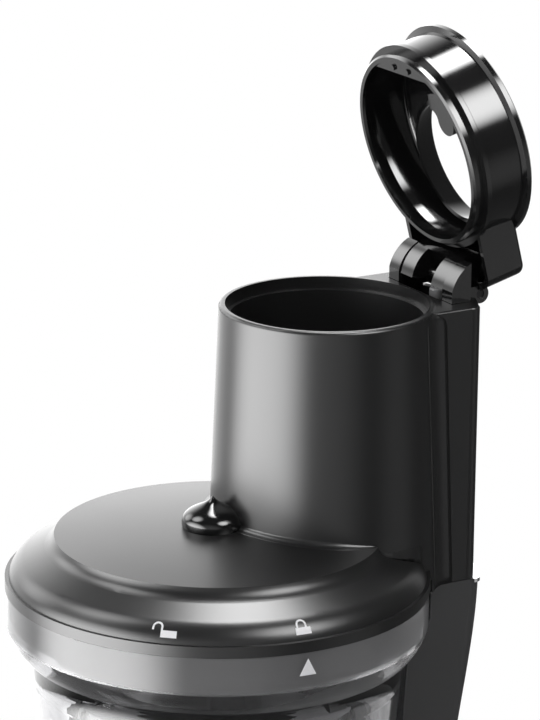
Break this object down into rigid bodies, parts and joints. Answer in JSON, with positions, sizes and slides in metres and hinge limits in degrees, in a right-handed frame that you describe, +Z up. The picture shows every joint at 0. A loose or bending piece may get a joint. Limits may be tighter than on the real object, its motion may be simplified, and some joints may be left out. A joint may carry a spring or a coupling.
{
  "type": "cold press juicer",
  "caption": "Upright cold press juicer with motor base, clear screw bowl, twist-on hopper with wide chute and flip ring lid.",
  "frame": {"origin": "on the table under the bowl axis, at the centre foot", "axes": "+Z up along the bowl and auger axis, +Y to the rear column, -Y to the juice spout"},
  "size_m": [0.1785, 0.2287, 0.5238],
  "materials": {
    "body_grey": "fine matte texture",
    "lid_black": "satin",
    "gloss_black": "high gloss",
    "clear_smoke": "clear smoky plastic",
    "rubber": "matt",
    "silicone": "satin",
    "silver_trim": "bright",
    "steel": "brushed",
    "dark_plastic": "satin",
    "inner_plastic": "plain",
    "gear_plastic": "plain",
    "board": "plain",
    "magnet": "plain"
  },
  "bodies": {
    "base": {"base_housing": "body_grey", "base_bottom_cover": "dark_plastic", "rubber_feet": "rubber", "base_screws": "steel", "column_trim": "silver_trim", "knob_bezel": "silver_trim", "rotary_switch": "inner_plastic", "cord_gland": "rubber", "control_board": "board", "gearbox_housing": "inner_plastic", "gearbox_cover": "inner_plastic", "drive_bush": "steel", "shaft_seal": "silicone", "motor_can": "steel", "motor_magnets": "magnet", "idler_pin": "steel", "lid_switch": "inner_plastic"},
    "rotor": {"motor_rotor": "steel", "cooling_fan": "inner_plastic", "motor_pinion": "steel"},
    "idler": {"idler_gear": "gear_plastic"},
    "drive": {"output_gear": "gear_plastic", "drive_shaft": "steel"},
    "knob": {"control_knob": "gloss_black"},
    "bowl": {"bowl": "clear_smoke", "bowl_shaft_seal": "silicone", "strainer_frame": "dark_plastic", "strainer_screen": "steel"},
    "tap": {"juice_tap_cap": "gloss_black", "tap_seal": "silicone"},
    "auger": {"auger": "dark_plastic", "auger_socket": "steel", "wiper_holder": "inner_plastic", "wiper_blades": "silicone"},
    "hopper": {"hopper_lid": "lid_black", "auger_top_bush": "steel", "auger_nub": "gloss_black", "lid_gasket": "silicone", "column_base_plate": "lid_black", "hinge_block": "gloss_black", "hinge_screws": "steel", "hinge_pin": "steel", "rod_spring": "steel"},
    "rod": {"interlock_rod": "inner_plastic", "rod_magnet": "magnet"},
    "lid": {"ring_lid": "gloss_black", "lid_knuckle": "gloss_black"}
  },
  "joints": [
    {"name": "rotor_spin", "type": "hinge", "parent": "base", "child": "rotor", "pos_m": [0.012, 0.045, 0.08], "axis": [0, 0, 1], "continuous": true},
    {"name": "idler_spin", "type": "hinge", "parent": "base", "child": "idler", "pos_m": [0.036, 0.027, 0.15], "axis": [0, 0, 1], "continuous": true},
    {"name": "drive_spin", "type": "hinge", "parent": "base", "child": "drive", "pos_m": [0, 0, 0.15], "axis": [0, 0, 1], "continuous": true},
    {"name": "auger_spin", "type": "hinge", "parent": "bowl", "child": "auger", "pos_m": [0, 0, 0.2], "axis": [0, 0, 1], "continuous": true},
    {"name": "knob_turn", "type": "hinge", "parent": "base", "child": "knob", "pos_m": [0, -0.084, 0.095], "axis": [0, -1, 0], "range_deg": [-45, 45]},
    {"name": "bowl_lift", "type": "slide", "parent": "base", "child": "bowl", "axis": [0, 0, 1], "range_m": [0, 0.12]},
    {"name": "juice_tap_swing", "type": "hinge", "parent": "bowl", "child": "tap", "pos_m": [0, -0.095, 0.221], "axis": [-1, 0, 0], "range_deg": [0, 100]},
    {"name": "hopper_twist", "type": "hinge", "parent": "bowl", "child": "hopper", "pos_m": [0, 0, 0.31], "axis": [0, 0, 1], "range_deg": [0, 40]},
    {"name": "ring_lid_hinge", "type": "hinge", "parent": "hopper", "child": "lid", "pos_m": [0, 0.1065, 0.4202], "axis": [1, 0, 0], "range_deg": [0, 75.5]},
    {"name": "rod_slide", "type": "slide", "parent": "hopper", "child": "rod", "axis": [0, 0, -1], "range_m": [0, 0.0081], "deforming": ["rod_spring"]}
  ],
  "couplings": [
    {"joint": "idler_spin", "follows": "rotor_spin", "ratio": -0.25},
    {"joint": "drive_spin", "follows": "rotor_spin", "ratio": 0.05},
    {"joint": "auger_spin", "follows": "rotor_spin", "ratio": 0.05},
    {"joint": "rod_slide", "follows": "ring_lid_hinge", "m_per_rad": 0.0060711}
  ]
}
